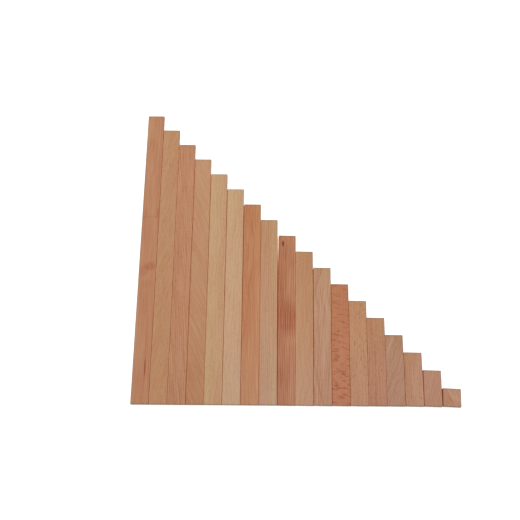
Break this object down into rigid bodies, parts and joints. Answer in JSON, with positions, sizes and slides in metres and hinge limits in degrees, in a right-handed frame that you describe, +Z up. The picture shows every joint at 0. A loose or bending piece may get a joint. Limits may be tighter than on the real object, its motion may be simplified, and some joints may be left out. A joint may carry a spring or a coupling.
{
  "type": "subtraction board strips",
  "caption": "Plain wooden counting strips laid flat side by side as a staircase, each a unit shorter down to a square, for covering the numbers of a subtraction board.",
  "frame": {"origin": "middle of the whole layout, on the surface that the strips lie on", "axes": "+Z up; +X along the line of feet, from the longest strip to the square; +Y along the strips, from their feet to their heads"},
  "size_m": [0.4498, 0.451, 0.005],
  "materials": {
    "beech_rosy": "satin",
    "beech_honey": "satin",
    "beech_pale": "satin",
    "beech_amber": "satin",
    "beech_red": "satin",
    "beech_grey": "satin"
  },
  "bodies": {
    "strip_18": {"neutral_strip_18": "beech_rosy"},
    "strip_17": {"neutral_strip_17": "beech_honey"},
    "strip_16": {"neutral_strip_16": "beech_rosy"},
    "strip_15": {"neutral_strip_15": "beech_honey"},
    "strip_14": {"neutral_strip_14": "beech_pale"},
    "strip_13": {"neutral_strip_13": "beech_pale"},
    "strip_12": {"neutral_strip_12": "beech_amber"},
    "strip_11": {"neutral_strip_11": "beech_pale"},
    "strip_10": {"neutral_strip_10": "beech_red"},
    "strip_09": {"neutral_strip_09": "beech_honey"},
    "strip_08": {"neutral_strip_08": "beech_grey"},
    "strip_07": {"neutral_strip_07": "beech_amber"},
    "strip_06": {"neutral_strip_06": "beech_honey"},
    "strip_05": {"neutral_strip_05": "beech_amber"},
    "strip_04": {"neutral_strip_04": "beech_grey"},
    "strip_03": {"neutral_strip_03": "beech_rosy"},
    "strip_02": {"neutral_strip_02": "beech_rosy"},
    "strip_01": {"neutral_strip_01": "beech_honey"}
  },
  "joints": [
    {"name": "lift_strip_17", "type": "slide", "parent": "strip_18", "child": "strip_17", "axis": [0, 0, 1], "range_m": [0, 0.05]},
    {"name": "lift_strip_16", "type": "slide", "parent": "strip_18", "child": "strip_16", "axis": [0, 0, 1], "range_m": [0, 0.05]},
    {"name": "lift_strip_15", "type": "slide", "parent": "strip_18", "child": "strip_15", "axis": [0, 0, 1], "range_m": [0, 0.05]},
    {"name": "lift_strip_14", "type": "slide", "parent": "strip_18", "child": "strip_14", "axis": [0, 0, 1], "range_m": [0, 0.05]},
    {"name": "lift_strip_13", "type": "slide", "parent": "strip_18", "child": "strip_13", "axis": [0, 0, 1], "range_m": [0, 0.05]},
    {"name": "lift_strip_12", "type": "slide", "parent": "strip_18", "child": "strip_12", "axis": [0, 0, 1], "range_m": [0, 0.05]},
    {"name": "lift_strip_11", "type": "slide", "parent": "strip_18", "child": "strip_11", "axis": [0, 0, 1], "range_m": [0, 0.05]},
    {"name": "lift_strip_10", "type": "slide", "parent": "strip_18", "child": "strip_10", "axis": [0, 0, 1], "range_m": [0, 0.05]},
    {"name": "lift_strip_09", "type": "slide", "parent": "strip_18", "child": "strip_09", "axis": [0, 0, 1], "range_m": [0, 0.05]},
    {"name": "lift_strip_08", "type": "slide", "parent": "strip_18", "child": "strip_08", "axis": [0, 0, 1], "range_m": [0, 0.05]},
    {"name": "lift_strip_07", "type": "slide", "parent": "strip_18", "child": "strip_07", "axis": [0, 0, 1], "range_m": [0, 0.05]},
    {"name": "lift_strip_06", "type": "slide", "parent": "strip_18", "child": "strip_06", "axis": [0, 0, 1], "range_m": [0, 0.05]},
    {"name": "lift_strip_05", "type": "slide", "parent": "strip_18", "child": "strip_05", "axis": [0, 0, 1], "range_m": [0, 0.05]},
    {"name": "lift_strip_04", "type": "slide", "parent": "strip_18", "child": "strip_04", "axis": [0, 0, 1], "range_m": [0, 0.05]},
    {"name": "lift_strip_03", "type": "slide", "parent": "strip_18", "child": "strip_03", "axis": [0, 0, 1], "range_m": [0, 0.05]},
    {"name": "lift_strip_02", "type": "slide", "parent": "strip_18", "child": "strip_02", "axis": [0, 0, 1], "range_m": [0, 0.05]},
    {"name": "lift_strip_01", "type": "slide", "parent": "strip_18", "child": "strip_01", "axis": [0, 0, 1], "range_m": [0, 0.05]}
  ]
}
